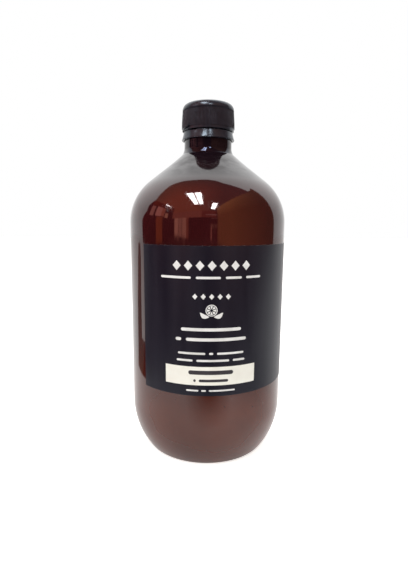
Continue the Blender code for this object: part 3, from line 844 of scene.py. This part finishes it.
def makeRoom():
    # a dim room in front of the bottle, open at the back, with bright tubes in its ceiling
    top, low, left, far = room["ceiling"], room["low"], room["leftX"], room["farY"]
    farEdge = [(ceilingEdge[-1][0], far), (ceilingEdge[0][0], far)]
    ceiling = [(x, y, top) for x, y in farEdge + ceilingEdge]
    card = reflectedCard("ceiling", roomToPart(ceiling), (1.0, 1.0, 1.0))
    card.data.materials[0] = fadedGlow("ceilingGlow", ceilingGlow)
    for name, corners in lampPanels.items():
        lamp = [(x, y, top - 0.01) for x, y in corners]
        reflectedCard(name, roomToPart(lamp), lampGlow["colour"], lampGlow["strength"])
    farY = room["leftFarY"]
    wall = [(left, y, z) for y, z in leftWallEdge] + [(left, farY, top), (left, farY, low)]
    reflectedCard("leftWall", roomToPart(wall), darkRoom)
    for name, (colour, (y0, y1), (z0, z1)) in leftPanels.items():
        x = left + 0.02
        reflectedCard(name, roomToPart([(x, y0, z0), (x, y1, z0), (x, y1, z1), (x, y0, z1)]), colour)
    x0, x1 = room["farX"]
    wall = [(x0, far, low), (x1, far, low), (x1, far, top), (x0, far, top)]
    reflectedCard("farWall", roomToPart(wall), darkRoom)
    for name, (colour, (x0, x1), (z0, z1)) in farPanels.items():
        y = room["shelfY"]
        reflectedCard(name, roomToPart([(x0, y, z0), (x1, y, z0), (x1, y, z1), (x0, y, z1)]), colour)
    card = reflectedCard("rightWall", roomToPart(rightWallEdge), (1.0, 1.0, 1.0))
    card.data.materials[0] = fadedGlow("rightWallGlow", rightWallGlow)
    print("made the room that the gloss shows")


shadeSpots = dict(
    paperShadeFront=dict(place=(0.01, -0.172), radius=0.085, core=0.3, dark=0.9),
    paperShadeRight=dict(place=(0.16, -0.06), radius=0.11, core=0.2, dark=0.42),
)
darkTables = dict(
    tableInFront=((0.13, 0.035, 0.035), [
        (-3.2, -3.2), (3.2, -3.2), (3.2, -0.158), (-0.155, -0.158), (-0.155, 0.04), (-0.263, 0.06),
        (-2.4, 0.73), (-3.2, 0.73),
    ]),
    tableAtLeft=((0.24, 0.17, 0.15), [
        (-0.155, 0.04), (-0.155, 0.087), (-0.41, 0.30), (-1.1, 0.78), (-2.0, 1.35), (-2.14, 1.16),
        (-1.22, 0.61), (-0.47, 0.217), (-0.263, 0.10), (-0.263, 0.06),
    ]),
)  # colours and corners of the table beyond the white paper, in metres
tableTurn = 2.0  # degrees
shadeColour = (0.12, 0.11, 0.11)


def makeTableEdge():
    # beyond the paper the table is dark, and soft round shades lie on the paper in front and at the
    # right: each fades in a straight line from its core to its rim
    for name, (colour, corners) in darkTables.items():
        reflectedCard(name, roomToPart([(x, y, 0.0006) for x, y in corners], tableTurn), colour)
    for name, s in shadeSpots.items():
        turns = np.linspace(0, fullTurn, 33)[:-1]
        x, y = s["place"]
        circle = [(x + s["radius"] * math.cos(t), y + s["radius"] * math.sin(t), 0.0008) for t in turns]
        card = reflectedCard(name, roomToPart(circle), shadeColour)
        tree = card.data.materials[0].node_tree
        centre = tree.nodes.new("ShaderNodeVectorMath")
        centre.operation = "DISTANCE"
        centre.inputs[1].default_value = roomToPart([(x, y, 0.0008)])[0]
        tree.links.new(objectCoordinates(tree), centre.inputs[0])
        cover = stretched(tree, centre.outputs["Value"], s["radius"] * s["core"], s["radius"], s["dark"], 0.0)
        clear = tree.nodes.new("ShaderNodeBsdfTransparent")
        blend = tree.nodes.new("ShaderNodeMixShader")
        tree.links.new(cover, blend.inputs[0])
        tree.links.new(clear.outputs[0], blend.inputs[1])
        tree.links.new(tree.nodes["Emission"].outputs[0], blend.inputs[2])
        tree.links.new(blend.outputs[0], tree.nodes["Material Output"].inputs["Surface"])


floorLook = dict(
    half=3.0, colour=(0.86, 0.86, 0.86), roughness=0.9, shine=0.1,
    glow=(1.0, 0.96, 0.92), seen=0.72, mirrored=0.30,
)


def makeFloor():
    # a pale table; its glow is seen for the camera and mirrored in gloss, and it keeps the soft shadow
    f = floorLook
    half = f["half"]
    corners = [(-half, -half, 0), (half, -half, 0), (half, half, 0), (-half, half, 0)]
    mesh = bpy.data.meshes.new("paleTable")
    mesh.from_pydata(corners, [], [(0, 1, 2, 3)])
    material, tree, shader = newMaterial("paleTable", f["colour"], f["roughness"], 1.5, f["shine"])
    path = tree.nodes.new("ShaderNodeLightPath")
    seen = stretched(tree, path.outputs["Is Camera Ray"], 0.0, 1.0, 0.0, f["seen"])
    strength = tree.nodes.new("ShaderNodeMath")
    strength.operation = "MULTIPLY_ADD"
    strength.inputs[1].default_value = f["mirrored"]
    tree.links.new(path.outputs["Is Glossy Ray"], strength.inputs[0])
    tree.links.new(seen, strength.inputs[2])
    shader.inputs["Emission Color"].default_value = (*f["glow"], 1.0)
    tree.links.new(strength.outputs[0], shader.inputs["Emission Strength"])
    mesh.materials.append(material)
    table = bpy.data.objects.new("paleTable", mesh)
    scene.collection.objects.link(table)


worldGlow = dict(fill=0.75, seen=1.0, low=1.15, high=2.2, lowUp=0.25, highUp=0.82)


def makeWorld():
    # white all round: 1 for the camera, a little less for the fill, and in reflections brighter overhead,
    # from low to high as the direction's rise goes from lowUp to highUp
    w = worldGlow
    world = bpy.data.worlds.new("paleStudio")
    scene.world = world
    world.use_nodes = True
    tree = world.node_tree
    background = tree.nodes["Background"]
    path = tree.nodes.new("ShaderNodeLightPath")
    coordinates = tree.nodes.new("ShaderNodeTexCoord")
    split = tree.nodes.new("ShaderNodeSeparateXYZ")
    tree.links.new(coordinates.outputs["Generated"], split.inputs[0])
    reflected = stretched(tree, split.outputs["Z"], w["lowUp"], w["highUp"], w["low"], w["high"])

    def choose(factor, low, high):
        # low where the factor is 0, high where it is 1
        node = tree.nodes.new("ShaderNodeMix")
        tree.links.new(factor, node.inputs["Factor"])
        for socket, value in ((node.inputs[2], low), (node.inputs[3], high)):
            if isinstance(value, float):
                socket.default_value = value
            else:
                tree.links.new(value, socket)
        return node.outputs[0]

    strength = choose(path.outputs["Is Diffuse Ray"], reflected, w["fill"])
    strength = choose(path.outputs["Is Camera Ray"], strength, w["seen"])
    background.inputs["Color"].default_value = (1.0, 1.0, 1.0, 1.0)
    tree.links.new(strength, background.inputs["Strength"])


studioLamps = dict(
    softKey=dict(place=(-0.7, -0.8, 1.0), size=(0.8, 0.8), power=6.0),
    softTop=dict(place=(0.3, 0.2, 1.2), size=(0.9, 0.9), power=5.0),
)  # metres and watts


def addLamp(name, place, target, size, power):
    # a rectangle of light at place, turned to face target, left out of reflections
    light = bpy.data.lights.new(name, "AREA")
    light.shape = "RECTANGLE"
    light.size, light.size_y = size
    light.energy = power
    lamp = bpy.data.objects.new(name, light)
    lamp.location = place
    lamp.rotation_euler = (Vector(target) - Vector(place)).to_track_quat("-Z", "Y").to_euler()
    lamp.visible_glossy = False
    scene.collection.objects.link(lamp)
    return lamp


def makeLamps():
    # two large soft lamps give form to matt surfaces; what shines is left to the surroundings
    for name, lamp in studioLamps.items():
        addLamp(name, lamp["place"], (0, 0, 0.1), lamp["size"], lamp["power"])


view = dict(
    focalPixels=424.5, distance=260.8 * mm, height=138.7 * mm, pitch=9.88, roll=0.487,
    azimuth=-3.18, sideShift=2.79, imageHeight=588, sensor=36.0,
)  # angles in degrees; focalPixels and sideShift in pixels of the photograph


def makeCamera():
    # a camera close to the bottle: turned down by the pitch, rolled, and swung aside by
    # atan(sideShift / focalPixels); its lens is sensor * focalPixels / imageHeight
    v = view
    azimuth, pitch, roll = (math.radians(v[key]) for key in ("azimuth", "pitch", "roll"))
    place = Vector((v["distance"] * math.sin(azimuth), -v["distance"] * math.cos(azimuth), v["height"]))
    level = Vector((-math.sin(azimuth), math.cos(azimuth), 0))
    right = Vector((math.cos(azimuth), math.sin(azimuth), 0))
    forward = level * math.cos(pitch) - Vector((0, 0, math.sin(pitch)))
    up = level * math.sin(pitch) + Vector((0, 0, math.cos(pitch)))
    right, up = right * math.cos(roll) + up * math.sin(roll), up * math.cos(roll) - right * math.sin(roll)
    swing = math.atan(v["sideShift"] / v["focalPixels"])
    c, s = math.cos(swing), math.sin(swing)
    forward, right = forward * c - right * s, right * c + forward * s
    data = bpy.data.cameras.new("photoCamera")
    data.sensor_width = v["sensor"]
    data.lens = v["sensor"] * v["focalPixels"] / v["imageHeight"]
    data.clip_start = 10 * mm
    camera = bpy.data.objects.new("photoCamera", data)
    camera.matrix_world = Matrix((
        (right.x, up.x, -forward.x, place.x),
        (right.y, up.y, -forward.y, place.y),
        (right.z, up.z, -forward.z, place.z),
        (0, 0, 0, 1),
    ))
    scene.collection.objects.link(camera)
    scene.camera = camera
    print("set the camera")


makeCamera()
amber, black = amberPet(), blackCapPlastic()
filmBlack = labelBlack()
makeBottle(amber)
makeSoap(soapLiquid())
makeCap(black)
makeLiner(linerFoam())
makeBand(black)
makeLabel(filmBlack, plainFilm("filmCore", (0.74, 0.74, 0.72), (0.62, 0.62, 0.60), 0.5))
makePanel(plainFilm("creamInk", (0.86, 0.84, 0.75), (0.82, 0.79, 0.70), 0.45))
makePrint(
    plainFilm("whiteInk", (0.80, 0.79, 0.76), (0.66, 0.65, 0.62), 0.5),
    plainFilm("charcoalInk", (0.030, 0.030, 0.036), (0.022, 0.022, 0.028), 0.5),
)
makeRoom()
makeTableEdge()
makeFloor()
makeWorld()
makeLamps()
scene.view_settings.view_transform = "Standard"
print("scene made")
